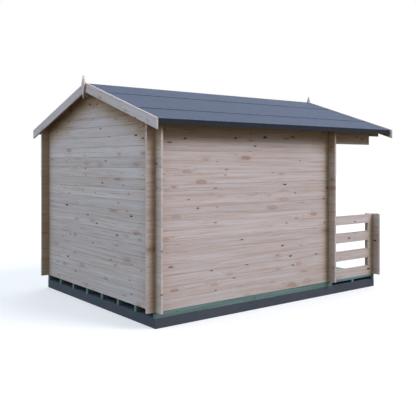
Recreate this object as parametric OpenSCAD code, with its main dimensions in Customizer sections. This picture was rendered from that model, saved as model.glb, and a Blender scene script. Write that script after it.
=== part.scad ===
// Log cabin with an open veranda: thin interlocking logs with crossed corners, a low
// felted gable roof that runs out over the veranda, treated joists and a flat plinth.
// Millimetres. +Z up, the ridge along Y, the veranda towards -Y.
// Origin: centre of the plinth's underside.

/* [Logs] */
// Thickness of a log, which is the wall's thickness
log_t = 28; // [20:1:45]
// Height that one course of logs adds to a wall
course_h = 125; // [100:1:150]
// Courses in a side wall, the two eaves logs included
wall_courses = 17; // [15:1:20]
// How far a log runs on past the outer face of the wall that it crosses
log_end = 110; // [60:5:140]

/* [Plan] */
// Width of the cabin over its side walls' outer faces
cabin_w = 2830; // [2300:10:3600]
// Length of the cabin room over its end walls' outer faces
room_l = 2830; // [2200:10:3600]
// Length of the veranda, from the front wall to the outer face of the rail posts
veranda_l = 960; // [700:10:1300]

/* [Base and floor] */
// Height of the plinth slab
plinth_h = 112; // [60:1:200]
// Height of the joists under the room
joist_h = 70; // [50:1:120]
// Thickness of every joist
joist_t = 45; // [30:1:60]
// Number of joists under the room
joist_count = 8; // [5:1:12]
// Thickness of the veranda's deck boards
deck_t = 32; // [20:1:40]
// Thickness of the room's floor boards
floor_t = 19; // [15:1:28]

/* [Veranda rails] */
// Courses up to the top of the veranda rails, an odd number
rail_courses = 7; // [5:2:9]
// Height of the tongue that stands on a log with no log above it
tongue_h = 12.5; // [6:0.5:16]
// Thickness of that tongue
tongue_t = 9; // [6:1:12]

/* [Roof] */
// Pitch of the roof
pitch = 18; // [12:0.5:28]
// Thickness of the roof boards
roof_board_t = 22; // [16:1:28]
// Thickness of one layer of felt
felt_t = 4; // [2:0.5:6]
// From the side wall's outer face to the eaves' felt edge
eaves_overhang = 195; // [140:5:260]
// From the rail posts' outer face to the front end of the roof boards
front_overhang = 110; // [40:5:160]
// Height of the felt edge at the eaves
drip_h = 60; // [45:1:90]
// Thickness of the eaves boards behind the felt edge
fascia_t = 19; // [15:1:25]
// Slope length of the lowest strip of felt that shows
lower_felt_l = 449; // [350:1:600]
// Slope length of the middle strip of felt that shows
middle_felt_l = 731; // [500:1:850]
// Slope length hidden where one strip of felt laps another
felt_lap = 75; // [50:5:120]

/* [Purlins] */
// Thickness of a purlin
purlin_t = 45; // [30:1:70]
// Height of a side purlin on its lower side
purlin_h = 68; // [50:1:120]
// Height of the ridge purlin
ridge_purlin_h = 140; // [100:1:180]
// From the ridge to the middle of a side purlin
purlin_x = 660; // [500:5:900]
// From the front wall's outer face to the end of the lower eaves log
lower_beam_l = 850; // [400:10:900]

/* [Bargeboards and finials] */
// Thickness of a bargeboard
barge_t = 24; // [18:1:32]
// Width of a bargeboard, square to the slope
barge_w = 114; // [90:1:150]
// How far a bargeboard stands above the felt
barge_rise = 11; // [0:1:25]
// How far a bargeboard runs out past the felt edge at the eaves
barge_tail = 30; // [10:1:80]
// Width of a finial
finial_w = 84; // [60:1:120]
// Height of a finial above the bargeboards' peak
finial_up = 84; // [50:1:130]
// Depth of a finial below the bargeboards' peak
finial_down = 206; // [150:1:260]
// Height of a finial's widest line below the bargeboards' peak
finial_waist = 34; // [10:1:60]

/* [Doorway] */
// Width of the opening in the front wall
door_w = 1460; // [1300:10:1700]
// Courses up to the door head, in whole logs above the sill log
door_courses = 15; // [13:1:15]
// Width of the door frame's members
frame_w = 45; // [30:1:70]
// Width of the cover boards round the frame
cover_w = 70; // [50:1:95]
// Thickness of the cover boards round the frame
cover_t = 16; // [10:1:22]
// Thickness of a door leaf
leaf_t = 40; // [30:1:50]
// Width of a leaf's stiles and top rail
stile_w = 95; // [70:1:120]
// Height of a leaf's closed lower part
leaf_panel_h = 820; // [500:10:1000]
// Running gap round a leaf
leaf_gap = 3; // [2:0.5:6]
// Thickness of the glass
glass_t = 4; // [3:1:6]
// Height of the door handle above the sill
handle_z = 960; // [850:10:1100]
// Diameter of a hinge barrel
hinge_d = 16; // [10:1:20]
// Length of a hinge
hinge_l = 90; // [60:5:120]

/* [Hidden] */

pine = "#c9b7a4";
pine_end = "#8d7a62";
treated = "#5f7a74";
deck_teal = "#6a939b";
plinth_grey = "#484b54";
felt_grey = "#6c778e";
cut = 5;
half_w = cabin_w / 2;
base_l = room_l + veranda_l;
rear_y = base_l / 2;
front_y = rear_y - room_l;
post_y = -rear_y;
wall_z = plinth_h + joist_h;
wall_top = wall_courses * course_h;
head_z = (door_courses + 0.5) * course_h;
sill_h = course_h / 2;

// The end walls' inner edges, in order: rear wall, front wall, rail posts
rear_cross_y = rear_y - log_t;
front_cross_y = front_y;
post_cross_y = post_y;
wall_crossings = [rear_cross_y, front_cross_y];
log_crossings = [rear_cross_y, front_cross_y, post_cross_y];
rear_log_y = rear_y + log_end;
front_log_y = front_y - log_end;
post_log_y = post_y - log_end;
roof_rear_y = rear_log_y;
roof_front_y = post_y - front_overhang;

// Roof heights above the wall's foot, at a distance x from the ridge
rise = tan(pitch);
function thick(t) = t / cos(pitch);
function under(x) = wall_top + (half_w - abs(x)) * rise;
function boards(x) = under(x) + thick(roof_board_t);
function felted(x, layers) = boards(x) + layers * thick(felt_t);
function barge_top(x) = felted(x, 1) + barge_rise;
eaves_x = half_w + eaves_overhang;
fascia_x = eaves_x - felt_t;
board_end_x = fascia_x - fascia_t;
drip_z = felted(eaves_x, 1) - drip_h;
lap_x = felt_lap * cos(pitch);
lap_ramp = 20;
lower_edge_x = eaves_x - lower_felt_l * cos(pitch);
middle_edge_x = lower_edge_x - middle_felt_l * cos(pitch);
barge_x = eaves_x + barge_tail;

// The doorway, above the wall's foot
leaf_w = (door_w - 2 * frame_w - 3 * leaf_gap) / 2;
leaf_z = sill_h + frame_w + leaf_gap;
leaf_top = head_z - frame_w - leaf_gap;
leaf_x = door_w / 2 - frame_w - leaf_gap;
leaf_y = front_y - cover_t;
pane_w = leaf_w - 2 * stile_w;
pane_z = leaf_z + leaf_panel_h;
pane_h = leaf_top - stile_w - pane_z;
hinge_inset = 180;
hinge_z = [leaf_z + hinge_inset, (leaf_z + leaf_top - hinge_l) / 2, leaf_top - hinge_inset - hinge_l];
hinge_flap = 26;
hinge_t = 3;
handle_plate_w = 36;
handle_plate_h = 170;
handle_plate_t = 5;
handle_d = 18;
handle_reach = 45;
handle_l = 120;

// Everything above the joists is drawn from the wall's foot
module on_joists() {
    translate([0, 0, wall_z]) children();
}

// A shape drawn in X and Z, as an end wall is seen, with y_min and y_max
module across(y_min, y_max) {
    translate([0, y_max, 0]) rotate([90, 0, 0]) linear_extrude(y_max - y_min) children();
}

// Halvings in a wall or log that runs along Y: half a course high, at each joint line
module side_halvings(first, last, crossings) {
    for (k = [first:last], y = crossings)
        translate([-half_w - cut, y, (k - 0.25) * course_h])
            cube([log_t + 2 * cut, log_t, course_h / 2]);
}

// Logs of the left side wall, from course first up to the course before last
module side_logs(first, last, y_front, crossings) {
    difference() {
        translate([-half_w, y_front, first * course_h])
            cube([log_t, rear_log_y - y_front, (last - first) * course_h]);
        side_halvings(first, last, crossings);
    }
}

module left_wall() color(pine) on_joists() {
    for (k = [1:2:rail_courses - 2])
        side_logs(k, k + 1, front_log_y, wall_crossings);
    side_logs(rail_courses, wall_courses - 2, front_log_y, wall_crossings);
}

// The logs that run on past the front wall as the veranda's rails, with a bare tongue
module left_long_logs() color(pine) on_joists() {
    tongue_l = front_log_y - (post_y + log_t + log_end);
    for (k = [0:2:rail_courses - 1]) {
        side_logs(k, k + 1, post_log_y, log_crossings);
        if (k < rail_courses - 1)
            translate([-half_w + (log_t - tongue_t) / 2, front_log_y - tongue_l, (k + 1) * course_h])
                cube([tongue_t, tongue_l, tongue_h]);
    }
}

module left_lower_eaves_log() color(pine) on_joists()
    side_logs(wall_courses - 2, wall_courses - 1, front_y - lower_beam_l, wall_crossings);

// The top log of a side wall: its upper face is planed to the roof's slope
module left_upper_eaves_log() color(pine) on_joists() difference() {
    across(roof_front_y, roof_rear_y) polygon([
        [-half_w, (wall_courses - 1) * course_h],
        [-half_w + log_t, (wall_courses - 1) * course_h],
        [-half_w + log_t, under(half_w - log_t)],
        [-half_w, under(half_w)]
    ]);
    side_halvings(wall_courses - 1, wall_courses, wall_crossings);
}

// Short crossing logs stacked into a post, halved over the rails
module left_post_logs() color(pine) on_joists() difference() {
    translate([-half_w - log_end, post_y, 0])
        cube([log_t + 2 * log_end, log_t, rail_courses * course_h]);
    for (k = [0:rail_courses - 1])
        translate([-half_w, post_y - cut, (k + 0.25) * course_h])
            cube([log_t, log_t + 2 * cut, course_h / 2]);
}

// The short logs between the rails at the post
module left_post_blocks() color(pine) on_joists()
    for (k = [1:2:rail_courses - 2]) difference() {
        translate([-half_w, post_log_y, k * course_h])
            cube([log_t, log_t + 2 * log_end, course_h]);
        side_halvings(k, k + 1, [post_cross_y]);
    }

module right_side() mirror([1, 0, 0]) children();

// Outline of an end wall from height low up to the roof's underside
module gable_outline(low) {
    end_x = half_w + log_end;
    polygon([[-end_x, low], [end_x, low], [end_x, under(end_x)], [0, under(0)], [-end_x, under(end_x)]]);
}

// Halvings in an end wall: the middle of every side log that passes through it
module end_halvings(first, last) {
    for (k = [first:last], side = [-1, 1])
        translate([side * (half_w - log_t / 2) - log_t / 2, (k + 0.25) * course_h])
            square([log_t, course_h / 2]);
}

module ridge_purlin_section() {
    reach = purlin_t / 2;
    foot = under(0) - ridge_purlin_h;
    polygon([[-reach, foot], [reach, foot], [reach, under(reach)], [0, under(0)], [-reach, under(reach)]]);
}

module left_purlin_section() {
    outer = purlin_x + purlin_t / 2;
    inner = purlin_x - purlin_t / 2;
    foot = under(outer) - purlin_h;
    polygon([[-outer, foot], [-inner, foot], [-inner, under(inner)], [-outer, under(outer)]]);
}

module purlin_sections() {
    ridge_purlin_section();
    left_purlin_section();
    mirror([1, 0]) left_purlin_section();
}

module rear_wall() color(pine) on_joists()
    across(rear_y - log_t, rear_y) difference() {
        gable_outline(0);
        end_halvings(0, wall_courses - 1);
        purlin_sections();
    }

// The front wall's lowest half log, which runs under the door
module front_sill_log() color(pine) on_joists()
    across(front_y, front_y + log_t) difference() {
        translate([-half_w - log_end, 0]) square([cabin_w + 2 * log_end, sill_h]);
        end_halvings(0, 0);
    }

module front_wall_left() color(pine) on_joists()
    across(front_y, front_y + log_t) difference() {
        translate([-half_w - log_end, sill_h])
            square([half_w + log_end - door_w / 2, head_z - sill_h]);
        end_halvings(0, wall_courses - 1);
    }

module front_gable() color(pine) on_joists()
    across(front_y, front_y + log_t) difference() {
        gable_outline(head_z);
        end_halvings(0, wall_courses - 1);
        purlin_sections();
    }

module ridge_purlin() color(pine) on_joists()
    across(roof_front_y, roof_rear_y) ridge_purlin_section();

module left_purlin() color(pine) on_joists()
    across(roof_front_y, roof_rear_y) left_purlin_section();

module plinth_slab() color(plinth_grey)
    translate([-half_w, post_y, 0]) cube([cabin_w, base_l, plinth_h]);

module floor_joists() color(treated) {
    pitch_x = (cabin_w - joist_t) / (joist_count - 1);
    for (i = [0:joist_count - 1])
        translate([-half_w + i * pitch_x, front_y, plinth_h]) cube([joist_t, room_l, joist_h]);
}

// Three joists across the veranda: against the room's joists, midway and at the front
module veranda_joists() color(treated) {
    step_y = (veranda_l - joist_t) / 2;
    for (i = [0:2])
        translate([-half_w, post_y + i * step_y, plinth_h]) cube([cabin_w, joist_t, joist_h - deck_t]);
}

module floor_boards() color(pine) on_joists()
    translate([-half_w + log_t, front_y + log_t, 0])
        cube([cabin_w - 2 * log_t, room_l - 2 * log_t, floor_t]);

module veranda_deck() color(deck_teal) on_joists()
    translate([-half_w, post_y, -deck_t]) cube([cabin_w, veranda_l, deck_t]);

module left_roof_boards() color(pine_end) on_joists()
    across(roof_front_y, roof_rear_y) polygon([
        [0, under(0)], [0, boards(0)],
        [-board_end_x, boards(board_end_x)], [-board_end_x, under(board_end_x)]
    ]);

module left_eaves_board() {
    foot = drip_z + felt_t;
    across(roof_front_y, roof_rear_y) polygon([
        [-board_end_x, boards(board_end_x)], [-fascia_x, boards(fascia_x)],
        [-fascia_x, foot], [-board_end_x, foot]
    ]);
}

module eaves_boards() color(pine_end) on_joists() {
    left_eaves_board();
    mirror([1, 0, 0]) left_eaves_board();
}

// The lowest strip: up the slope under the next strip, and down over the eaves board
module left_lower_felt() color(felt_grey) on_joists() {
    top_x = lower_edge_x - lap_x;
    across(roof_front_y, roof_rear_y) polygon([
        [-top_x, boards(top_x)], [-top_x, felted(top_x, 1)],
        [-eaves_x, felted(eaves_x, 1)], [-eaves_x, drip_z],
        [-fascia_x, drip_z], [-fascia_x, boards(fascia_x)]
    ]);
}

// A strip that lies on the boards from top_x and climbs onto the strip below it
function lapped_strip(top_x, edge_x) = [
    [-top_x, boards(top_x)], [-top_x, felted(top_x, 1)],
    [-edge_x + lap_x + lap_ramp, felted(edge_x - lap_x - lap_ramp, 1)],
    [-edge_x + lap_x, felted(edge_x - lap_x, 2)], [-edge_x, felted(edge_x, 2)],
    [-edge_x, felted(edge_x, 1)], [-edge_x + lap_x, felted(edge_x - lap_x, 1)],
    [-edge_x + lap_x, boards(edge_x - lap_x)]
];

module left_middle_felt() color(felt_grey) on_joists()
    across(roof_front_y, roof_rear_y) polygon(lapped_strip(middle_edge_x - lap_x, lower_edge_x));

// The top strip is folded over the ridge: down one slope, back under, then the mirror image
module ridge_felt() color(felt_grey) on_joists() {
    slope = lapped_strip(0, middle_edge_x);
    last = len(slope) - 1;
    down = [for (i = [1:last]) slope[i]];
    mirrored = [for (i = [last:-1:2]) [-slope[i][0], slope[i][1]]];
    across(roof_front_y, roof_rear_y) polygon(concat(down, [slope[0]], mirrored));
}

module left_barge_outline() {
    depth = thick(barge_w);
    polygon([
        [0, barge_top(0)], [-barge_x, barge_top(barge_x)],
        [-barge_x, barge_top(barge_x) - depth], [0, barge_top(0) - depth]
    ]);
}

module rear_left_bargeboard() color(pine) on_joists()
    across(roof_rear_y, roof_rear_y + barge_t) left_barge_outline();

module front_left_bargeboard() color(pine) on_joists()
    across(roof_front_y - barge_t, roof_front_y) left_barge_outline();

module finial_outline() {
    peak = barge_top(0);
    polygon([
        [0, peak + finial_up], [-finial_w / 2, peak - finial_waist],
        [0, peak - finial_down], [finial_w / 2, peak - finial_waist]
    ]);
}

module rear_finial() color(pine) on_joists()
    across(roof_rear_y + barge_t, roof_rear_y + 2 * barge_t) finial_outline();

module front_finial() color(pine) on_joists()
    across(roof_front_y - 2 * barge_t, roof_front_y - barge_t) finial_outline();

// Frame in the wall's thickness, with cover boards on the outside
module door_frame() color(pine) on_joists() {
    opening_h = head_z - sill_h;
    lip = cover_w - frame_w;
    across(front_y - cover_t, front_y + log_t) difference() {
        translate([-door_w / 2, sill_h]) square([door_w, opening_h]);
        translate([-door_w / 2 + frame_w, sill_h + frame_w])
            square([door_w - 2 * frame_w, opening_h - 2 * frame_w]);
    }
    across(front_y - cover_t, front_y) difference() {
        translate([-door_w / 2 - lip, sill_h]) square([door_w + 2 * lip, opening_h + lip]);
        translate([-door_w / 2, sill_h - cut]) square([door_w, opening_h + cut]);
    }
}

// A half glazed leaf; its hinged edge is at leaf_x
module left_door() color(pine) on_joists()
    across(leaf_y, leaf_y + leaf_t) difference() {
        translate([-leaf_x, leaf_z]) square([leaf_w, leaf_top - leaf_z]);
        translate([-leaf_x + stile_w, pane_z]) square([pane_w, pane_h]);
    }

module left_glass() {
    translate([-leaf_x + stile_w, leaf_y + (leaf_t - glass_t) / 2, pane_z]) cube([pane_w, glass_t, pane_h]);
}

module door_glass() color("#c8dde0") on_joists() {
    left_glass();
    mirror([1, 0, 0]) left_glass();
}

// A barrel with a flap on the leaf and one on the frame
module left_hinge(z) {
    joint_x = -leaf_x - leaf_gap / 2;
    translate([joint_x, leaf_y - hinge_d / 2, z]) cylinder(d = hinge_d, h = hinge_l, $fn = 48);
    translate([joint_x - hinge_flap, leaf_y - hinge_t, z]) cube([2 * hinge_flap, hinge_t, hinge_l]);
}

module door_hinges() color("#8a8d90") on_joists()
    for (z = hinge_z) {
        left_hinge(z);
        mirror([1, 0, 0]) left_hinge(z);
    }

// Lever handle on the right leaf's meeting stile
module door_handle() color("#8a8d90") on_joists() {
    plate_x = leaf_gap / 2 + stile_w / 2;
    spindle_z = sill_h + handle_z;
    lever_y = leaf_y - handle_plate_t - handle_reach;
    translate([plate_x - handle_plate_w / 2, leaf_y - handle_plate_t, spindle_z - handle_plate_h / 2])
        cube([handle_plate_w, handle_plate_t, handle_plate_h]);
    translate([plate_x, leaf_y - handle_plate_t, spindle_z]) rotate([90, 0, 0])
        cylinder(d = handle_d, h = handle_reach, $fn = 48);
    translate([plate_x - handle_d / 2, lever_y, spindle_z - handle_d / 2])
        cube([handle_l, handle_d * 2 / 3, handle_d]);
}

plinth_slab();
floor_joists();
veranda_joists();
floor_boards();
veranda_deck();
left_wall();
left_long_logs();
left_lower_eaves_log();
left_upper_eaves_log();
left_post_logs();
left_post_blocks();
right_side() left_wall();  // right_wall
right_side() left_long_logs();  // right_long_logs
right_side() left_lower_eaves_log();  // right_lower_eaves_log
right_side() left_upper_eaves_log();  // right_upper_eaves_log
right_side() left_post_logs();  // right_post_logs
right_side() left_post_blocks();  // right_post_blocks
rear_wall();
front_sill_log();
front_wall_left();
right_side() front_wall_left();  // front_wall_right
front_gable();
ridge_purlin();
left_purlin();
right_side() left_purlin();  // right_purlin
left_roof_boards();
right_side() left_roof_boards();  // right_roof_boards
eaves_boards();
left_lower_felt();
right_side() left_lower_felt();  // right_lower_felt
left_middle_felt();
right_side() left_middle_felt();  // right_middle_felt
ridge_felt();
rear_left_bargeboard();
right_side() rear_left_bargeboard();  // rear_right_bargeboard
front_left_bargeboard();
right_side() front_left_bargeboard();  // front_right_bargeboard
rear_finial();
front_finial();
door_frame();
left_door();
right_side() left_door();  // right_door
door_glass();
door_hinges();
door_handle();
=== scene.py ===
# %% [markdown]
# # A log cabin, piece by piece
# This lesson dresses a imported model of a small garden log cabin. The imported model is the
# frame: it says where every wall, board and beam is. We never move it. We build finer
# timbers in the same places, give every surface a material, then light and look at it.

# %% Load the frame
import math
import random

import bmesh
import bpy
from mathutils import Matrix, Vector


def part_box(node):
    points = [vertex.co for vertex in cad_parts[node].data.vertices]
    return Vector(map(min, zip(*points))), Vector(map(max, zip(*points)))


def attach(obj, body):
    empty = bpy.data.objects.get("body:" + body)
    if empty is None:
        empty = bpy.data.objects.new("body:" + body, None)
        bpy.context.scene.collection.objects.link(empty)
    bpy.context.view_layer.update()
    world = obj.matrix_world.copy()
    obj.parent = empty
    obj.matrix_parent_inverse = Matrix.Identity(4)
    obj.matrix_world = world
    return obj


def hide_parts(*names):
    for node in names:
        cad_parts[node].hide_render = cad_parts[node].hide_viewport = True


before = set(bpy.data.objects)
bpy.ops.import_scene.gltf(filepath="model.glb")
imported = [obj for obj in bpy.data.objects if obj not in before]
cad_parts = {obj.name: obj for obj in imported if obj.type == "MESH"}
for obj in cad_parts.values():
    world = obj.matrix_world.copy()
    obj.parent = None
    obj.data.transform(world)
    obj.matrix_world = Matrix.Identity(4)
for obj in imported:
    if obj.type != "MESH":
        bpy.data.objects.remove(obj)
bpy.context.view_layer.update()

# %% [markdown]
# ## Measure the frame
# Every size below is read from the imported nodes, so that the timbers stay true when the
# model changes. A roof slope can't be read from one box, so it is worked out from two: the
# roof boards' box holds the rise of the slope and their own thickness, and the ridge
# purlin's top is where that thickness starts.

# %% Sizes from the frame
eaves_low, eaves_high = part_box("left_lower_eaves_log")
plinth_low, plinth_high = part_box("plinth_slab")
beside_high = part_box("front_wall_left")[1]
boards_low, boards_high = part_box("left_roof_boards")
purlin_low, purlin_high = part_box("left_purlin")
ridge_low, ridge_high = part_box("ridge_purlin")
barge_low, barge_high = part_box("rear_left_bargeboard")

course_h = eaves_high.z - eaves_low.z
log_t = eaves_high.x - eaves_low.x
half_w = -eaves_low.x
foot_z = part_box("left_long_logs")[0].z
wall_courses = round((eaves_high.z - foot_z) / course_h) + 1
rail_courses = round((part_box("left_post_logs")[1].z - foot_z) / course_h)
log_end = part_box("rear_wall")[1].x - half_w
rear_y, post_y = plinth_high.y, plinth_low.y
front_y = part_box("front_sill_log")[0].y
roof_rear_y, roof_front_y = boards_high.y, boards_low.y
board_end_x = -boards_low.x
board_rise = boards_high.z - ridge_high.z
slope = (boards_high.z - boards_low.z - board_rise) / board_end_x
pitch = math.atan(slope)
board_t = board_rise * math.cos(pitch)
barge_x = -barge_low.x
barge_drop = barge_high.z - barge_low.z - barge_x * slope
door_half = -beside_high.x
head_z = beside_high.z


def under_roof(x):
    """Height of the roof boards' underside, at a distance x from the ridge."""
    return ridge_high.z - abs(x) * slope


print(f"logs {log_t * 1000:.0f} x {course_h * 1000:.0f} mm, {wall_courses} courses")
print(f"roof pitch {math.degrees(pitch):.1f} degrees")

# %% [markdown]
# ## Shader maths that reads like maths
# Node trees get long when each sum takes four lines. A small class wraps an output socket
# and overloads the operators, so that `1 - mask * 0.5` adds its own Math nodes. Every other
# node comes from `Shader.node`, which takes the node's type, its settings and its inputs.

# %% A wrapped socket and a material builder
def math_node(operation, reflected=False):
    """A method of Value that adds one Math node; reflected swaps its two sides."""
    def add_node(self, other):
        return self.maths(operation, *((other, self) if reflected else (self, other)))
    return add_node


class Value:
    """An output socket with number maths on it."""

    __add__ = __radd__ = math_node("ADD")
    __mul__ = __rmul__ = math_node("MULTIPLY")
    __sub__, __rsub__ = math_node("SUBTRACT"), math_node("SUBTRACT", reflected=True)
    __truediv__, __pow__, __lt__ = math_node("DIVIDE"), math_node("POWER"), math_node("LESS_THAN")

    def __init__(self, shader, socket):
        self.shader, self.socket = shader, socket

    def maths(self, operation, *values, clamp=False):
        settings = {"operation": operation, "use_clamp": clamp}
        return self.shader.node("ShaderNodeMath", settings, dict(enumerate(values)))

    def fraction(self):
        return self.maths("FRACT", self)

    def clamped(self):
        return self.maths("ADD", self, 0.0, clamp=True)


class Shader:
    """A material, or a world, whose nodes are made by one method."""

    def __init__(self, name, kind=bpy.data.materials):
        self.material = kind.new(name)
        self.material.use_nodes = True
        self.nodes = self.material.node_tree.nodes
        self.links = self.material.node_tree.links
        self.nodes.clear()

    def node(self, kind, settings=None, inputs=None, output=0):
        """Makes a node, sets it up, fills its sockets, and gives back one output as a Value."""
        made = self.nodes.new(kind)
        for name, setting in (settings or {}).items():
            setattr(made, name, setting)
        for key, given in (inputs or {}).items():
            socket = made.inputs[key] if isinstance(key, int) else self.find(made.inputs, key)
            if isinstance(given, Value):
                self.links.new(given.socket, socket)
            else:
                socket.default_value = given
        if not made.outputs:
            return made
        outlet = made.outputs[output] if isinstance(output, int) else self.find(made.outputs, output)
        return Value(self, outlet)

    @staticmethod
    def find(sockets, key):
        """A socket by its identifier, or by the name that the editor shows."""
        return next((s for s in sockets if s.identifier == key), None) or sockets[key]

    def attribute(self, name, output):
        return self.node("ShaderNodeAttribute", {"attribute_name": name}, output=output)

    def vectors(self, operation, *values):
        return self.node("ShaderNodeVectorMath", {"operation": operation}, dict(enumerate(values)))

    def stretched(self, vector, scale):
        return self.vectors("MULTIPLY", vector, scale)

    def noise(self, vector, scale, detail=3.0, roughness=0.5):
        sizes = {"Vector": vector, "Scale": scale, "Detail": detail, "Roughness": roughness}
        return self.node("ShaderNodeTexNoise", {}, sizes)

    def smooth(self, value, low, high):
        """0 below low, 1 above high, and a soft step between."""
        ends = {"Value": value, "From Min": low, "From Max": high}
        return self.node("ShaderNodeMapRange", {"interpolation_type": "SMOOTHSTEP"}, ends)

    def mix(self, factor, first, second, blend="MIX"):
        settings = {"data_type": "RGBA", "blend_type": blend}
        inputs = {"Factor_Float": factor, "A_Color": first, "B_Color": second}
        return self.node("ShaderNodeMix", settings, inputs, "Result_Color")

    def surface(self, colour, roughness, height=None, relief=0.0, distance=0.001, **fixed):
        """Ends the tree with a Principled BSDF; height makes its bump."""
        inputs = {"Base Color": colour, "Roughness": roughness, **fixed}
        if height is not None:
            bump = {"Strength": relief, "Distance": distance, "Height": height}
            inputs["Normal"] = self.node("ShaderNodeBump", {}, bump)
        shader = self.node("ShaderNodeBsdfPrincipled", {}, inputs)
        self.node("ShaderNodeOutputMaterial", {}, {"Surface": shader})
        print(f"{self.material.name}: {len(self.nodes)} nodes")
        return self.material


def srgb(red, green, blue):
    """A colour given as screen values from 0 to 255, in the linear values that nodes use."""
    def linear(part):
        part /= 255
        return part / 12.92 if part <= 0.04045 else ((part + 0.055) / 1.055) ** 2.4
    return (linear(red), linear(green), linear(blue), 1.0)

# %% [markdown]
# ## Sawn softwood
# A pine log is solid wood, so its figure has to run through it: long streaks on the faces,
# arcs on the end grain. Each timber carries its own grain coordinates in metres, along the
# log, up its face and through it, shifted at random, so that no two logs are alike. Rings
# are the distance from a pith in or beside the timber. Knots sit in stretched Voronoi
# cells: large sound ones are red with rings, small loose ones are dark, and the grain swings
# round both. Shade is painted into the colour too: open faces stay a cool grey pink, while
# corners and the wall under the eaves are painted a darker brown. Ambient occlusion, leaned
# towards the side lamp's side, tells the two apart.

# %% Knots
def knots(wood, grain, chance, cells, small, large):
    """Masks from 0 to 1: the knot, its dark rim, the grain that swings round it, its rings."""
    ragged = wood.noise(wood.stretched(grain, (16.0, 60.0, 0.0)), 1.0, 2.0)
    torn = wood.node("ShaderNodeCombineXYZ", {}, {0: ragged * 0.06, 1: ragged * 0.018})
    flat = wood.stretched(wood.vectors("ADD", grain, torn), (*cells, 0.0))
    voronoi = {"voronoi_dimensions": "2D", "feature": "F1"}
    away = wood.node("ShaderNodeTexVoronoi", voronoi, {"Vector": flat, "Scale": 1.0}, "Distance")
    luck = wood.node("ShaderNodeTexVoronoi", voronoi, {"Vector": flat, "Scale": 1.0}, "Color")
    first, second, third = (
        wood.node("ShaderNodeSeparateColor", {}, {"Color": luck}, part) for part in ("Red", "Green", "Blue")
    )
    share = away / (second * second * (large - small) + small)
    strength = (first < chance) * (third * 0.6 + 0.4)
    knot = (1 - wood.smooth(share, 0.6, 1.2)) * strength
    rim = knot * wood.smooth(share, 0.35, 0.85)
    flare = (1 - wood.smooth(share, 0.6, 3.2)) * strength
    rings = wood.smooth((share * 3.2).fraction(), 0.3, 0.9) * knot
    return knot, rim, flare, rings

# %% [markdown]
# ### Figure and painted shade
# All that is stretched here is given in cells to the metre, along the log, up its face and
# through it. The painted shade looks from each point towards the side lamp's side, as far as
# its reach in metres: the less open sky it finds, the darker and browner the colour is painted.

# %% The softwood material
SOUND_KNOTS = {"cells": (1.8, 5.2), "small": 0.05, "large": 0.17}
LOOSE_KNOTS = {"cells": (1.6, 4.4), "small": 0.028, "large": 0.055}
SWING, BROAD, FINE, FLECKS = (0.9, 4.0, 4.0), (0.8, 30.0, 30.0), (1.8, 105.0, 105.0), (12.0, 420.0, 420.0)
RING_PITCH, FIGURE_DEPTH = 0.0052, 0.0006
DARKEST, LIGHTEST = (0.93, 0.925, 0.92, 1), (1.05, 1.045, 1.04, 1)
# Reach in metres, lean and range of a painted shade from ambient occlusion
PAINTED_SHADE_REACH, SHADE_LEAN, PAINTED_SHADE_RANGE = 0.35, (-0.3, -0.3, 0.5), (0.5, 0.88)
DULL = {"Specular IOR Level": 0.2}


def painted_hidden_shade(wood):
    """Painted shade: 1 where the leaned ambient occlusion finds the wood hidden, 0 in the open."""
    facing = wood.node("ShaderNodeNewGeometry", {}, {}, "Normal")
    sunward = wood.vectors("NORMALIZE", wood.vectors("ADD", facing, SHADE_LEAN))
    reach = {"Distance": PAINTED_SHADE_REACH, "Normal": sunward}
    open_sky = wood.node("ShaderNodeAmbientOcclusion", {"samples": 8}, reach, "AO")
    return 1 - wood.smooth(open_sky, *PAINTED_SHADE_RANGE)


def softwood(name, pale, tawny, streak, knot_red, knot_dark, painted_shade_tint, sound=0.65, loose=0.9,
             relief=0.35, roughness=0.62):
    wood = Shader(name)
    grain = wood.attribute("grain", "Vector")
    tone = wood.attribute("tone", "Fac")
    sound_knot, sound_rim, sound_flare, sound_rings = knots(wood, grain, sound, **SOUND_KNOTS)
    loose_knot, _, loose_flare, _ = knots(wood, grain, loose, **LOOSE_KNOTS)

    swing = wood.noise(wood.stretched(grain, SWING), 1.0, 2.0)
    swirl = sound_flare * 0.02 + loose_flare * 0.006
    shift = wood.node("ShaderNodeCombineXYZ", {}, {1: swing * 0.014 + swirl, 2: swing * 0.01 + swirl})
    bent = wood.vectors("ADD", grain, shift)
    parts = [wood.node("ShaderNodeSeparateXYZ", {}, {0: bent}, axis) for axis in ("X", "Y", "Z")]
    ring = ((parts[1] * parts[1] + parts[2] * parts[2]) ** 0.5) / RING_PITCH
    late = wood.smooth(ring.fraction(), 0.25, 0.95)

    broad = wood.noise(wood.stretched(bent, BROAD), 1.0, 3.0, 0.55)
    lines = wood.noise(wood.stretched(bent, FINE), 1.0, 4.0, 0.68)
    fleck = wood.noise(wood.stretched(bent, FLECKS), 1.0, 2.0)

    body = wood.mix(wood.smooth(broad, 0.34, 0.68), pale, tawny)
    body = wood.mix(wood.smooth(lines, 0.52, 0.68) * 0.75, body, streak)
    body = wood.mix(late * 0.2 + fleck * 0.08, body, streak)
    body = wood.mix(sound_flare * 0.25 + loose_flare * 0.2, body, streak)
    body = wood.mix(sound_knot * 0.25 + sound_rings * 0.3 + sound_rim * 0.2, body, knot_red)
    body = wood.mix((loose_knot * 1.3).clamped(), body, knot_dark)
    body = wood.mix(1.0, body, wood.mix(tone, DARKEST, LIGHTEST), "MULTIPLY")
    # Painted shade: wood that the leaned ambient occlusion finds hidden is multiplied towards dark brown
    body = wood.mix(painted_hidden_shade(wood), body, wood.mix(1.0, body, painted_shade_tint, "MULTIPLY"))

    height = late * 0.4 + lines * 0.7 + fleck * 0.5 - loose_knot * 0.3
    shine = lines * 0.12 + roughness
    return wood.surface(body, shine, height, relief, FIGURE_DEPTH, **DULL)


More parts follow.
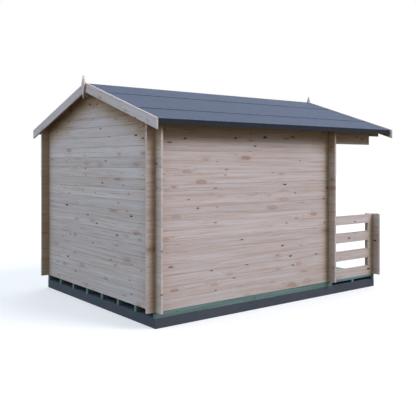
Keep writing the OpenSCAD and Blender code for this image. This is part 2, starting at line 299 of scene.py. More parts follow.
# The last colour here is painted shade, multiplied into hidden corners and under the eaves
PINE = dict(
    pale=srgb(209, 202, 203), tawny=srgb(198, 184, 177), streak=srgb(170, 134, 110),
    knot_red=srgb(150, 92, 66), knot_dark=srgb(56, 36, 30), painted_shade_tint=(0.62, 0.49, 0.32, 1.0),
)


def pine(name, pale, tawny, **others):
    return softwood(name, **{**PINE, "pale": srgb(*pale), "tawny": srgb(*tawny), **others})


log_pine = softwood("log_pine", **PINE)
trim_pine = pine("trim_pine", (213, 206, 208), (199, 188, 187))
beam_pine = pine("beam_pine", (198, 178, 158), (184, 160, 138))
board_pine = pine("board_pine", (194, 172, 152), (176, 152, 130))
door_pine = pine("door_pine", (208, 194, 182), (198, 182, 168), sound=0.25, loose=0.1)

# %% [markdown]
# ## Treated timber
# The joists and the deck are pressure treated. The salts turn the wood a cool green that
# soaks in unevenly: the late rings take less of it. It is the same wood underneath, so the
# same function makes it with other colours.

# %% Treated joists and deck boards
# The last colour of each is painted shade, multiplied into hidden corners
joist_green = softwood(
    "joist_green", pale=srgb(116, 142, 138), tawny=srgb(102, 127, 122), streak=srgb(66, 88, 80),
    knot_red=srgb(70, 84, 70), knot_dark=srgb(42, 54, 48), painted_shade_tint=(0.6, 0.58, 0.55, 1.0),
    roughness=0.7,
)
deck_teal = softwood(
    "deck_teal", pale=srgb(112, 152, 160), tawny=srgb(98, 138, 146), streak=srgb(72, 106, 112),
    knot_red=srgb(80, 98, 96), knot_dark=srgb(50, 66, 68), painted_shade_tint=(0.7, 0.66, 0.6, 1.0),
    roughness=0.68,
)

# %% [markdown]
# ## Felt, slab, glass and steel
# Roofing felt is a mat with crushed slate pressed into it: dull, blue-grey, and speckled
# when near. The slab is smooth cast concrete. These surfaces have no direction, so plain
# object coordinates in metres carry their noise.

# %% Felt and slab
def speckled(name, base, light, dark, grit_scale, grit_share, cloud_share, relief, roughness,
             upright=(1, 1, 1, 1)):
    """A dull surface with soft clouds of tone and a fine grit; upright paints shade on what stands."""
    made = Shader(name)
    place = made.node("ShaderNodeTexCoord", {}, {}, "Object")
    cloud = made.noise(place, 3.0, 5.0, 0.6)
    grit = made.noise(place, grit_scale, 2.0, 0.7)
    colour = made.mix(made.smooth(cloud, 0.3, 0.7) * cloud_share, base, light)
    colour = made.mix(made.smooth(grit, 0.45, 0.7) * grit_share, colour, dark)
    colour = made.mix(made.smooth(grit, 0.5, 0.25) * grit_share, colour, light)
    facing = made.node("ShaderNodeNewGeometry", {}, {}, "Normal")
    rising = made.node("ShaderNodeSeparateXYZ", {}, {0: facing}, "Z")
    standing = 1 - made.smooth(rising, 0.25, 0.8)
    # Painted shade: faces that stand are multiplied darker by their facing
    colour = made.mix(standing, colour, made.mix(1.0, colour, upright, "MULTIPLY"))
    return made.surface(colour, grit * 0.1 + roughness, grit, relief, 0.001, **DULL)


# Its upright faces, the drip among them, are darkened by a painted shade
roof_felt = speckled(
    "roof_felt", base=srgb(69, 79, 100), light=srgb(84, 95, 116), dark=srgb(51, 59, 77),
    grit_scale=420.0, grit_share=0.5, cloud_share=0.25, relief=0.5, roughness=0.8,
    upright=(0.3, 0.28, 0.23, 1.0),
)
slab_grey = speckled(
    "slab_grey", base=srgb(68, 72, 81), light=srgb(84, 88, 97), dark=srgb(48, 51, 59),
    grit_scale=160.0, grit_share=0.35, cloud_share=0.4, relief=0.3, roughness=0.75,
)

# %% Glass and steel
def plain(name, colour, roughness, variation=0.0, **fixed):
    """A manufactured finish with a faint variation of roughness."""
    made = Shader(name)
    place = made.node("ShaderNodeTexCoord", {}, {}, "Object")
    wear = made.noise(place, 30.0, 3.0)
    shade = made.mix(wear * 0.25, colour, tuple(part * 0.8 for part in colour[:3]) + (1.0,))
    return made.surface(shade, wear * variation + roughness, **fixed)


see_through = {"IOR": 1.46, "Transmission Weight": 1.0}
pane_glass = plain("pane_glass", srgb(236, 244, 243), 0.02, 0.02, **see_through)
satin_steel = plain("satin_steel", srgb(176, 178, 180), 0.28, 0.12, Metallic=1.0)

# %% [markdown]
# ## One helper for every timber
# Logs, boards, beams and door stiles are all the same thing: an outline cut from a plank,
# with its sharp edges taken off. `Timbers` collects such planks into one mesh. Each plank
# is drawn as four rings: the outline pulled in by the chamfer on one face, the full outline
# just inside it, and the same again on the other face. Two chamfers that meet make the V
# that shows between the courses of a log wall.

# %% Planks with chamfered edges
dice = random.Random(28)
TINY, STRAIGHT, SLIVER = 1e-6, 1e-4, 0.002

# The way a plank's length runs, then the way its face looks
ALONG_X, ALONG_Y, LAID_FLAT = ((1, 0, 0), (0, -1, 0)), ((0, 1, 0), (1, 0, 0)), ((1, 0, 0), (0, 0, 1))


def placed(origin, along, facing):
    """A matrix that lays a plank's length along one direction and its face towards another."""
    along, facing = Vector(along).normalized(), Vector(facing).normalized()
    up = facing.cross(along)
    turned = Matrix((along, up, facing)).transposed().to_4x4()
    return Matrix.Translation(Vector(origin)) @ turned


def pulled_in(outline, amount):
    """The outline with every edge moved inwards; its points run anticlockwise."""
    made = []
    for before, point, after in zip(outline[-1:] + outline[:-1], outline, outline[1:] + outline[:1]):
        first = (Vector(point) - Vector(before)).normalized()
        second = (Vector(after) - Vector(point)).normalized()
        inward = Vector((-first.y - second.y, first.x + second.x))
        made.append(Vector(point) + inward * (amount / (1 + first.dot(second))))
    return made


class Timbers:
    """Collects planks into one mesh, with the grain of each."""

    def __init__(self, name, material, slot, chamfer=0.0015):
        self.name, self.material, self.slot, self.chamfer = name, material, slot, chamfer
        self.mesh = bmesh.new()
        self.grain = self.mesh.verts.layers.float_vector.new("grain")
        self.tone = self.mesh.verts.layers.float.new("tone")
        self.count = 0

    def plank(self, outline, thickness, matrix, turn_grain=False, chamfer=None):
        """An outline in the plank's own length and width, from face 0 to face thickness."""
        edge = self.chamfer if chamfer is None else chamfer
        inner = pulled_in(outline, edge)
        outer = [Vector(point) for point in outline]
        layers = [(inner, 0), (outer, edge), (outer, thickness - edge), (inner, thickness)]
        shift = Vector((dice.uniform(0, 90), dice.uniform(0.02, 0.09), dice.uniform(0.03, 0.12)))
        shift.y += dice.randrange(40) * 0.4
        tone = dice.random()
        pith = Vector((0, dice.uniform(-0.02, 0.14), dice.choice((-1, 1)) * dice.uniform(0.02, 0.07)))
        rings = []
        for points, depth in layers:
            ring = []
            for point in points:
                vertex = self.mesh.verts.new(matrix @ Vector((point.x, point.y, depth)))
                own = Vector((point.y, point.x, depth)) if turn_grain else Vector((point.x, point.y, depth))
                vertex[self.grain] = own + Vector((shift.x, 0, 0)) - pith
                vertex[self.tone] = tone
                ring.append(vertex)
            rings.append(ring)
        for low, high in zip(rings, rings[1:]):
            for i, vertex in enumerate(low):
                j = (i + 1) % len(low)
                self.mesh.faces.new((vertex, low[j], high[j], high[i]))
        self.mesh.faces.new(list(reversed(rings[0])))
        self.mesh.faces.new(rings[-1])
        self.count += 1

    def rectangle(self, length, width, thickness, matrix, **options):
        self.plank([(0, 0), (length, 0), (length, width), (0, width)], thickness, matrix, **options)

    def turned(self, profile, matrix, sides=16):
        """A closed round form about the matrix's Z axis, from pairs of radius and height."""
        rings = []
        for radius, height in profile:
            turns = [2 * math.pi * i / sides for i in range(sides)] if radius > 0 else [0.0]
            spots = [matrix @ Vector((radius * math.cos(t), radius * math.sin(t), height)) for t in turns]
            rings.append([self.mesh.verts.new(spot) for spot in spots])
        for low, high in zip(rings, rings[1:]):
            for i in range(sides):
                j = (i + 1) % sides
                corners = [low[i % len(low)], low[j % len(low)], high[j % len(high)], high[i % len(high)]]
                self.mesh.faces.new(list(dict.fromkeys(corners)))
        self.count += 1

    def piece(self, *replaced, reshape=None):
        """Ends the mesh, stands it in for CAD nodes, and gives back its object."""
        if reshape:
            for vertex in self.mesh.verts:
                vertex.co = reshape(vertex.co)
        data = bpy.data.meshes.new(self.name)
        self.mesh.to_mesh(data)
        self.mesh.free()
        print(f"{self.name}: {self.count} made")
        return finished(self.name, data, self.material, self.slot, replaced)


def in_scene(name, data):
    """A new object in the scene, which shows the data."""
    made = bpy.data.objects.new(name, data)
    bpy.context.scene.collection.objects.link(made)
    return made


def finished(name, data, material, slot, replaced=()):
    """Puts a mesh in the scene as a piece that rides on the cabin."""
    piece = in_scene(name, data)
    data.materials.append(material)
    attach(piece, "root")
    if replaced:
        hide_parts(*replaced)
    return piece


def tidy(points):
    """Drops repeated points and those on a straight line between their neighbours."""
    kept = [p for i, p in enumerate(points) if (Vector(p) - Vector(points[i - 1])).length > 10 * TINY]
    def bends(i):
        before, point, after = (Vector(kept[(i + step) % len(kept)]) for step in (-1, 0, 1))
        turn = (point - before).normalized().to_3d().cross((after - point).normalized().to_3d()).z
        return abs(turn) > STRAIGHT
    return [p for i, p in enumerate(kept) if bends(i)]


def outlines(places, low_at, high_at):
    """Outlines of what lies between two stepped lines that step or bend only at the places."""
    places = sorted(set(round(place, 7) for place in places))
    runs = [[]]
    for a, b in zip(places, places[1:]):
        if high_at((a + b) / 2) - low_at((a + b) / 2) > SLIVER:
            runs[-1].append((a, b))
        elif runs[-1]:
            runs.append([])
    made = []
    for run in filter(None, runs):
        lower = [(x, low_at(near)) for a, b in run for x, near in ((a, a + TINY), (b, b - TINY))]
        upper = [(x, high_at(near)) for a, b in run for x, near in ((a, a + TINY), (b, b - TINY))]
        made.append(tidy(lower + upper[::-1]))
    return made

# %% [markdown]
# ## The log walls
# Thin garden logs are planed to one thickness and laid edge to edge. Where two walls cross,
# each log is cut half away from above and below, so a log of one wall sits half a course
# higher than its neighbour in the other. A side log therefore keeps the middle half of its
# height where an end wall passes, and so does an end log.

# %% Side walls, rails and posts
LOG_CHAMFER = 0.002
TONGUE_T, TONGUE_H = 0.009, 0.0125
quarter = course_h / 4
crossings = {"rear": rear_y - log_t, "front": front_y, "post": post_y}


def side_log(timbers, course, y_low, y_high, side, crossed):
    """One log along Y, halved where the named end walls cross it."""
    inner_x = -half_w if side < 0 else half_w - log_t
    low, high = foot_z + course * course_h, foot_z + (course + 1) * course_h
    cuts = [(crossings[name], crossings[name] + log_t) for name in crossed]
    def cut(y):
        return quarter if any(a < y < b for a, b in cuts) else 0
    places = [y_low, y_high] + [edge for pair in cuts for edge in pair]
    for outline in outlines(places, lambda y: low + cut(y), lambda y: high - cut(y)):
        timbers.plank(outline, log_t, placed((inner_x, 0, 0), *ALONG_Y))


def log_timbers(name):
    return Timbers(name, log_pine, "log_timber", LOG_CHAMFER)


def side_wall(side, word):
    """The logs of one side: wall, rails, eaves logs, and the post that ends the rails."""
    rear_end = rear_y + log_end
    wall = log_timbers(f"{word}_wall_logs")
    for course in [*range(1, rail_courses, 2), *range(rail_courses, wall_courses - 2)]:
        side_log(wall, course, front_y - log_end, rear_end, side, ("rear", "front"))
    wall.piece(f"{word}_wall")

    rails = log_timbers(f"{word}_rail_logs")
    block_end = post_y + log_t + log_end
    for course in range(0, rail_courses, 2):
        side_log(rails, course, post_y - log_end, rear_end, side, ("rear", "front", "post"))
        if course < rail_courses - 1:
            tongue_x = side * (half_w - log_t / 2) - TONGUE_T / 2
            top = foot_z + (course + 1) * course_h
            matrix = placed((tongue_x, block_end, top), *ALONG_Y)
            rails.rectangle(front_y - log_end - block_end, TONGUE_H, TONGUE_T, matrix)
    rails.piece(f"{word}_long_logs")

    lower = log_timbers(f"{word}_lower_eaves_beam")
    beam_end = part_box(f"{word}_lower_eaves_log")[0].y
    side_log(lower, wall_courses - 2, beam_end, rear_end, side, ("rear", "front"))
    lower.piece(f"{word}_lower_eaves_log")

    upper = log_timbers(f"{word}_upper_eaves_beam")
    side_log(upper, wall_courses - 1, roof_front_y, rear_end, side, ("rear", "front"))
    top = foot_z + wall_courses * course_h
    def planed(point):
        """The top edge follows the roof boards' slope."""
        lift = under_roof(point.x) - top if point.z > top - 2 * LOG_CHAMFER else 0
        return point + Vector((0, 0, lift))
    upper.piece(f"{word}_upper_eaves_log", reshape=planed)

    post = log_timbers(f"{word}_post_stack")
    for step in range(rail_courses + 1):
        low = foot_z + max(step - 0.5, 0) * course_h
        high = foot_z + min(step + 0.5, rail_courses) * course_h
        end_log(post, low, high, side * (half_w - log_t / 2), log_t / 2 + log_end, post_y)
    post.piece(f"{word}_post_logs")

    blocks = log_timbers(f"{word}_post_fillers")
    for course in range(1, rail_courses, 2):
        side_log(blocks, course, post_y - log_end, block_end, side, ("post",))
    blocks.piece(f"{word}_post_blocks")


def end_log(timbers, low, high, middle, reach, y, roofed=False):
    """One log along X, halved over the side walls and cut to the roof where it meets it."""
    def halving(x):
        return half_w - log_t < abs(x) < half_w
    def low_at(x):
        on_foot = low < foot_z + TINY
        return low + (quarter if halving(x) and not on_foot else 0)
    def high_at(x):
        top = high
        if halving(x) and not (roofed and high > foot_z + wall_courses * course_h):
            top = high - quarter
        if roofed:
            top = min(top, under_roof(x), pocket_foot(x))
        return top
    ends = [middle - reach, middle + reach]
    corners = [side * edge for side in (-1, 1) for edge in (half_w - log_t, half_w)]
    places = ends + [x for x in corners if ends[0] < x < ends[1]]
    if roofed:
        places += [x for x in roof_places(low, high) if ends[0] < x < ends[1]]
    for outline in outlines(places, low_at, high_at):
        timbers.plank(outline, log_t, placed((0, y + log_t, 0), *ALONG_X))


def pocket_foot(x):
    """Height at which a purlin's seat is cut, or far above where none is."""
    if abs(x) < ridge_high.x:
        return ridge_low.z
    if -purlin_high.x < abs(x) < -purlin_low.x:
        return purlin_low.z
    return math.inf


def roof_places(low, high):
    """Where an end log's upper edge bends: at the roof's slope and at the purlins' seats."""
    bends = [(ridge_high.z - level) / slope for level in (low, high)]
    bends += [ridge_high.x, -purlin_high.x, -purlin_low.x, 0.0]
    return [side * place for side in (-1, 1) for place in bends]


side_wall(-1, "left")
side_wall(1, "right")

# %% [markdown]
# ## The end walls
# The end walls climb into the gables. Every log there is cut to the roof's slope and has
# seats for the purlins. The front wall stands in two halves beside the doorway, with a half
# log as its sill and the gable over the head.

# %% End walls
def level(step):
    """Height of the joint under an end log."""
    return foot_z + max(step - 0.5, 0) * course_h


half_span = half_w + log_end
gable_steps = math.ceil((ridge_high.z - foot_z) / course_h + 0.5)
head_step = round((head_z - foot_z) / course_h + 0.5)


def end_wall(name, node, steps, middle, reach, y, roofed=False):
    """Some steps of an end wall's logs, in place of a node."""
    wall = log_timbers(name)
    for step in steps:
        end_log(wall, level(step), level(step + 1), middle, reach, y, roofed)
    wall.piece(node)


end_wall("rear_wall_logs", "rear_wall", range(gable_steps), 0.0, half_span, rear_y - log_t, True)
end_wall("sill_log", "front_sill_log", range(1), 0.0, half_span, front_y)
reach = (half_span - door_half) / 2
for middle, word in ((reach - half_span, "left"), (half_span - reach, "right")):
    end_wall(f"front_logs_{word}", f"front_wall_{word}", range(1, head_step), middle, reach, front_y)
gable_range = range(head_step, gable_steps)
end_wall("front_gable_logs", "front_gable", gable_range, 0.0, half_span, front_y, True)
print("end walls:", gable_steps, "log courses to the ridge, door head at course", head_step)

# %% [markdown]
# ## Plinth, joists and floors
# The slab has a small worn edge. Treated joists lie on it along the room, and the walls
# stand on them. The veranda's joists lie across, and its deck boards run from the front wall
# outwards with gaps that let rain through.

# %% Base and floors
EDGE, JOIST_T, DECK_GAP = 0.004, 0.045, 0.005
ROOM_JOISTS, CROSS_JOISTS, DECK_BOARDS, FLOOR_BOARDS = 8, 3, 24, 25


def side_by_side(planks, node, count, start, step, ways, *size):
    """Stands equal planks in for a node: the first at start, each next one a step on."""
    for i in range(count):
        corner = [place + i * move for place, move in zip(start, step)]
        planks.rectangle(*size, placed(corner, *ways))
    planks.piece(node)


slab = Timbers("plinth", slab_grey, "concrete", EDGE)
slab_size = (2 * half_w, rear_y - post_y, plinth_high.z)
side_by_side(slab, "plinth_slab", 1, (-half_w, post_y, 0), (0, 0, 0), LAID_FLAT, *slab_size)

low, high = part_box("floor_joists")
joists = Timbers("room_joists", joist_green, "treated_timber", 0.002)
joist_step = (high.x - low.x - JOIST_T) / (ROOM_JOISTS - 1)
side_by_side(joists, "floor_joists", ROOM_JOISTS, low, (joist_step, 0, 0), ALONG_Y,
             high.y - low.y, high.z - low.z, JOIST_T)

low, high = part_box("veranda_joists")
joists = Timbers("deck_joists", joist_green, "treated_timber", 0.002)
cross_y, cross_step = low.y, (high.y - low.y - JOIST_T) / (CROSS_JOISTS - 1)
side_by_side(joists, "veranda_joists", CROSS_JOISTS, (low.x, low.y + JOIST_T, low.z),
             (0, cross_step, 0), ALONG_X, high.x - low.x, high.z - low.z, JOIST_T)

deck_low, deck_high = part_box("veranda_deck")
deck = Timbers("deck_boards", deck_teal, "deck_timber", 0.003)
deck_step = (deck_high.x - deck_low.x + DECK_GAP) / DECK_BOARDS
side_by_side(deck, "veranda_deck", DECK_BOARDS, (deck_low.x, deck_high.y, deck_low.z),
             (deck_step, 0, 0), ((0, -1, 0), (0, 0, 1)),
             deck_high.y - deck_low.y, deck_step - DECK_GAP, deck_high.z - deck_low.z)

low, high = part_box("floor_boards")
floor = Timbers("room_floor", board_pine, "board_timber", 0.001)
floor_step = (high.y - low.y) / FLOOR_BOARDS
side_by_side(floor, "floor_boards", FLOOR_BOARDS, low, (0, floor_step, 0), LAID_FLAT,
             high.x - low.x, floor_step, high.z - low.z)

# %% [markdown]
# ## Screws and nails
# Deck boards are held down by two screws at each joist. A head is a small flat dome, turned
# like the hinge barrels later. All heads of one kind are one mesh, which keeps the list of
# pieces short.

# %% Deck screws
def head_profile(radius, sunk, proud):
    """The profile of a fixing's head, from its centre underneath to its centre on top."""
    return [(0, -sunk), (radius, -sunk), (radius, proud * 0.3), (radius * 0.7, proud * 0.85), (0, proud)]


def upright(point):
    return Matrix.Translation(Vector(point))


deck_screw = head_profile(radius=0.0042, sunk=0.002, proud=0.0)
SCREW_SUNK = 0.0002
deck_screws = Timbers("deck_screws", satin_steel, "door_metal")
for joist in range(CROSS_JOISTS):
    y = cross_y + joist * cross_step + JOIST_T / 2
    for i in range(DECK_BOARDS):
        for across in (0.25, 0.75):
            x = deck_low.x + i * deck_step + across * (deck_step - DECK_GAP)
            deck_screws.turned(deck_screw, upright((x, y, deck_high.z - SCREW_SUNK)), 10)
deck_screws.piece()

# %% [markdown]
# ## Purlins and roof boards
# Three purlins carry the roof from gable to gable and on over the veranda. Roof boards run
# from the ridge to the eaves, so their joints show as lines across the underside, where one
# looks up from the veranda.

# %% Roof timbers
purlins = (("ridge_purlin", ridge_low, ridge_high), ("left_purlin", purlin_low, purlin_high),
           ("right_purlin", *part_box("right_purlin")))
for node, low, high in purlins:
    beam = Timbers(f"{node}_beam", beam_pine, "beam_timber", 0.0025)
    bends = [0.0] if low.x < 0 < high.x else []
    section = outlines([low.x, high.x] + bends, lambda x: low.z, under_roof)[0]
    matrix = placed((0, high.y, 0), *ALONG_X)
    beam.plank(section, high.y - low.y, matrix)
    beam.piece(node)

ROOF_BOARDS = 38
roof_length = roof_rear_y - roof_front_y
board_step = roof_length / ROOF_BOARDS
slope_length = (board_end_x - board_t * math.sin(pitch)) / math.cos(pitch)
for side, word in ((-1, "left"), (1, "right")):
    roof = Timbers(f"{word}_roof_planks", board_pine, "board_timber", 0.0018)
    down = (side * math.cos(pitch), 0, -math.sin(pitch))
    out = (side * math.sin(pitch), 0, math.cos(pitch))
    for i in range(ROOF_BOARDS):
        y = roof_rear_y - i * board_step if side < 0 else roof_front_y + i * board_step
        roof.rectangle(slope_length, board_step, board_t, placed((0, y, ridge_high.z), down, out))
    roof.piece(f"{word}_roof_boards")

eaves = Timbers("eaves_planks", board_pine, "board_timber", 0.001)
eave_low, eave_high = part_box("eaves_boards")
fascia_t = eave_high.x - board_end_x
for side in (-1, 1):
    x = -eave_high.x if side < 0 else board_end_x
    matrix = placed((x, eave_low.y, eave_low.z), *ALONG_Y)
    eaves.rectangle(roof_length, eave_high.z - eave_low.z - fascia_t * slope, fascia_t, matrix)
eaves.piece("eaves_boards")

# %% [markdown]
# ## Felt
# Felt goes on from the eaves up, and each strip laps the one below, so a cut edge shows
# twice on a slope. The lowest strip bends over the eaves board and hangs down as a drip. A
# strip is one thin outline drawn across the roof and pushed along it, with a round bend.

# %% Felt strips
lower_low, lower_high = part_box("left_lower_felt")
middle_low, middle_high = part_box("left_middle_felt")
cap_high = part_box("ridge_felt")[1]
felt_rise = cap_high.z - boards_high.z
LAP_RAMP, DRIP_BEND = 0.012, 0.006


def over_boards(x, layers):
    """Height of the felt's top over the roof boards, after some layers of it."""
    return boards_high.z - abs(x) * slope + layers * felt_rise


def bend(corner, before, after, radius, steps=5):
    """An arc in place of a corner, between the directions of its neighbours."""
    corner = Vector(corner)
    first, last = (Vector(before) - corner).normalized(), (Vector(after) - corner).normalized()
    reach = radius / math.tan(first.angle(last) / 2)
    start, end = corner + first * reach, corner + last * reach
    curve = []
    for i in range(steps + 1):
        t = i / steps
        curve.append(tuple(start * (1 - t) ** 2 + corner * 2 * t * (1 - t) + end * t ** 2))
    return curve


def lapped(top_x, edge_x, lap_x):
    """A strip from top_x down to edge_x that climbs onto the strip below it at lap_x."""
    return [
        (top_x, over_boards(top_x, 0)), (lap_x, over_boards(lap_x, 0)), (lap_x, over_boards(lap_x, 1)),
        (edge_x, over_boards(edge_x, 1)), (edge_x, over_boards(edge_x, 2)),
        (lap_x, over_boards(lap_x, 2)), (lap_x - LAP_RAMP, over_boards(lap_x - LAP_RAMP, 1)),
        (top_x, over_boards(top_x, 1)),
    ]


def felt_strip(name, outline, side):
    """Pushes an outline, drawn for the right side, along the whole roof."""
    strip = Timbers(f"{name}_sheet", roof_felt, "roof_felt", 0.0008)
    if side > 0:
        matrix = placed((0, roof_rear_y, 0), *ALONG_X)
    else:
        matrix = placed((0, roof_front_y, 0), (-1, 0, 0), (0, 1, 0))
    strip.plank(outline, roof_length, matrix)
    strip.piece(name)


eaves_x, drip_z, fascia_x = -lower_low.x, lower_low.z, eave_high.x
top_x, lower_edge_x = -lower_high.x, -middle_low.x
middle_top_x, middle_edge_x = -middle_high.x, cap_high.x
eaves_corner = (eaves_x, over_boards(eaves_x, 1))
inner_corner = (fascia_x, over_boards(fascia_x, 0))
lower_strip = [(top_x, over_boards(top_x, 0)), inner_corner, (fascia_x, drip_z), (eaves_x, drip_z)]
lower_strip += bend(eaves_corner, (eaves_x, drip_z), (top_x, over_boards(top_x, 1)), DRIP_BEND)
lower_strip += [(top_x, over_boards(top_x, 1))]
cap_half = lapped(0.0, middle_edge_x, middle_top_x)
cap_strip = cap_half[1:] + [(-x, z) for x, z in reversed(cap_half[1:-1])]
cap_strip += [(0.0, over_boards(0.0, 0))]
for side, word in ((-1, "left"), (1, "right")):
    felt_strip(f"{word}_lower_felt", lower_strip, side)
    felt_strip(f"{word}_middle_felt", lapped(middle_top_x, lower_edge_x, top_x), side)
felt_strip("ridge_felt", cap_strip, 1)

# %% [markdown]
# ## Clout nails
# Galvanised clout nails hold the felt along its edges. Their wide flat heads lie in rows
# along each lap, and along the drip where it is nailed to the eaves board.

# %% Nails along the laps and the drip
clouts = Timbers("felt_nails", satin_steel, "door_metal")
NAIL_STEP, NAIL_INSET, DRIP_NAIL_INSET = 0.15, 0.022, 0.03
clout = head_profile(radius=0.0045, sunk=0.001, proud=0.0008)
lap_edges = (lower_edge_x - NAIL_INSET, middle_edge_x - NAIL_INSET)
nail_rows = [*((x, 2) for x in lap_edges), (eaves_x - DRIP_NAIL_INSET, 1)]
nail_count = int(roof_length / NAIL_STEP)
for side in (-1, 1):
    out = Vector((side * math.sin(pitch), 0, math.cos(pitch)))
    for i in range(nail_count):
        y = roof_front_y + (i + 0.5) * roof_length / nail_count
        for x, layers in nail_rows:
            place = placed((side * x, y, over_boards(x, layers)), (0, 1, 0), out)
            clouts.turned(clout, place, 8)
clouts.piece()

# %% [markdown]
# ## Bargeboards and finials
# Bargeboards close the ends of the roof. They are cut plumb at the eaves and meet plumb
# under a kite-shaped finial, which hides the joint. In the board's own length and width its
# plumb cuts lean by the pitch.

# %% Roof trim
for end, y_near in (("rear", roof_rear_y), ("front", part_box("front_left_bargeboard")[0].y)):
    barge_t = barge_high.y - barge_low.y
    for side, word in ((-1, "left"), (1, "right")):
        trim = Timbers(f"{end}_{word}_barge", trim_pine, "trim_timber", 0.0025)
        down = Vector((side * math.cos(pitch), 0, -math.sin(pitch)))
        out = (0, 1, 0) if side < 0 else (0, -1, 0)
        length = barge_x / math.cos(pitch)
        width = barge_drop * math.cos(pitch)
        lean = width * math.tan(pitch)
        y = y_near if side < 0 else y_near + barge_t
        top = Vector((0, y, barge_high.z))
        matrix = placed(top, down, out)
        outline = [(0, 0), (lean, -width), (length + lean, -width), (length, 0)]
        trim.plank(outline, barge_t, matrix)
        trim.piece(f"{end}_{word}_bargeboard")

WAIST_DROP = 0.034
for end in ("rear", "front"):
    low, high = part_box(f"{end}_finial")
    kite = Timbers(f"{end}_kite", trim_pine, "trim_timber", 0.003)
    waist = barge_high.z - WAIST_DROP
    outline = [(0, low.z), (high.x, waist), (0, high.z), (low.x, waist)]
    matrix = placed((0, high.y, 0), *ALONG_X)
    kite.plank(outline, high.y - low.y, matrix, turn_grain=True)
    kite.piece(f"{end}_finial")

# %% [markdown]
# ## Door frame
# The frame is four lengths of planed pine with the leaves shut into it. Cover boards are
# planted on the wall round it and hide the ends of the cut logs. The joints are butted: the
# head sits on the jambs.

# %% Frame and cover boards
frame_low, frame_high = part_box("door_frame")
leaf_low, leaf_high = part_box("left_door")
FRAME_W, COVER_W = 0.045, 0.070
door_back = frame_high.y


def door_member(timbers, x_low, x_high, z_low, z_high, y_front, y_back, level_grain=False, chamfer=None):
    """A board of the door, from its box; its grain runs up unless level_grain is set."""
    size, corner, ways = (x_high - x_low, z_high - z_low), (x_low, y_back, z_low), ALONG_X
    if not level_grain:
        size, corner, ways = size[::-1], (x_high, y_back, z_low), ((0, 0, 1), (0, -1, 0))
    timbers.rectangle(*size, y_back - y_front, placed(corner, *ways), chamfer=chamfer)


door_surround = Timbers("door_surround", door_pine, "door_timber", 0.002)
sill_top = frame_low.z + FRAME_W
for side in (-1, 1):
    edges = sorted((side * door_half, side * (door_half - FRAME_W)))
    door_member(door_surround, *edges, sill_top, head_z, front_y, door_back)
    edges = sorted((side * frame_high.x, side * (frame_high.x - COVER_W)))
    door_member(door_surround, *edges, frame_low.z, frame_high.z - COVER_W, frame_low.y, front_y)
inner_half = door_half - FRAME_W
level_boards = (
    (-inner_half, inner_half, head_z - FRAME_W, head_z, front_y, door_back),
    (-door_half, door_half, frame_low.z, sill_top, front_y, door_back),
    (-inner_half, inner_half, frame_low.z, sill_top, frame_low.y, front_y),
    (frame_low.x, frame_high.x, frame_high.z - COVER_W, frame_high.z, frame_low.y, front_y),
)
for box in level_boards:
    door_member(door_surround, *box, level_grain=True)
door_surround.piece("door_frame")

# %% [markdown]
# ## Door leaves
# A leaf is two stiles with rails between them. Below is a panel of tongued boards set back
# from the face, above a pane that beads hold and thin bars divide. Each member is its own
# plank with upright or level grain, which is what makes joinery read as joinery.

# %% Leaves
glass_low, glass_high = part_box("door_glass")
STILE_W, FOOT_RAIL_H, LOCK_RAIL_H = 0.095, 0.130, 0.100
PANEL_BOARDS, PANEL_SET_BACK = 5, 0.010
BAR_W, BAR_T, BEAD_W, PANE_ROWS = 0.022, 0.009, 0.012, 3


def door_leaf(side, word):
    leaf = Timbers(f"{word}_leaf", door_pine, "door_timber", 0.0018)
    front, back = leaf_low.y, leaf_high.y
    outer, inner = -leaf_low.x, -leaf_high.x

    def member(near, far, low, high, y_front=front, y_back=back, level_grain=False, chamfer=None):
        edges = sorted((side * near, side * far))
        door_member(leaf, *edges, low, high, y_front, y_back, level_grain, chamfer)

    member(inner, inner + STILE_W, leaf_low.z, leaf_high.z)
    member(outer - STILE_W, outer, leaf_low.z, leaf_high.z)
    near, far = inner + STILE_W, outer - STILE_W
    member(near, far, leaf_low.z, leaf_low.z + FOOT_RAIL_H, level_grain=True)
    member(near, far, glass_low.z - LOCK_RAIL_H, glass_low.z, level_grain=True)
    member(near, far, glass_high.z, leaf_high.z, level_grain=True)
    board_w = (far - near) / PANEL_BOARDS
    for i in range(PANEL_BOARDS):
        member(near + i * board_w, near + (i + 1) * board_w, leaf_low.z + FOOT_RAIL_H,
               glass_low.z - LOCK_RAIL_H, front + PANEL_SET_BACK, back - PANEL_SET_BACK, chamfer=0.003)

    middle, pane_h = (near + far) / 2, glass_high.z - glass_low.z
    for y_front, y_back in ((glass_low.y - BAR_T, glass_low.y), (glass_high.y, glass_high.y + BAR_T)):
        member(near, near + BEAD_W, glass_low.z, glass_high.z, y_front, y_back)
        member(far - BEAD_W, far, glass_low.z, glass_high.z, y_front, y_back)
        for low in (glass_low.z, glass_high.z - BEAD_W):
            member(near + BEAD_W, far - BEAD_W, low, low + BEAD_W, y_front, y_back, True)
        member(middle - BAR_W / 2, middle + BAR_W / 2, glass_low.z + BEAD_W, glass_high.z - BEAD_W,
               y_front, y_back)
        for row in range(1, PANE_ROWS):
            low = glass_low.z + pane_h * row / PANE_ROWS - BAR_W / 2
            for start, end in ((near + BEAD_W, middle - BAR_W / 2), (middle + BAR_W / 2, far - BEAD_W)):
                member(start, end, low, low + BAR_W, y_front, y_back, True)
    leaf.piece(f"{word}_door")


door_leaf(-1, "left")
door_leaf(1, "right")

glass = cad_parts["door_glass"]
glass.data.materials.clear()
glass.data.materials.append(pane_glass)

# %% [markdown]
# ## Hinges and handle
# Butt hinges have a barrel of five knuckles round a pin. The barrel is turned: its radius
# dips where two knuckles meet. The handle is a plate with a round spindle and a lever, and
# a keyhole below.

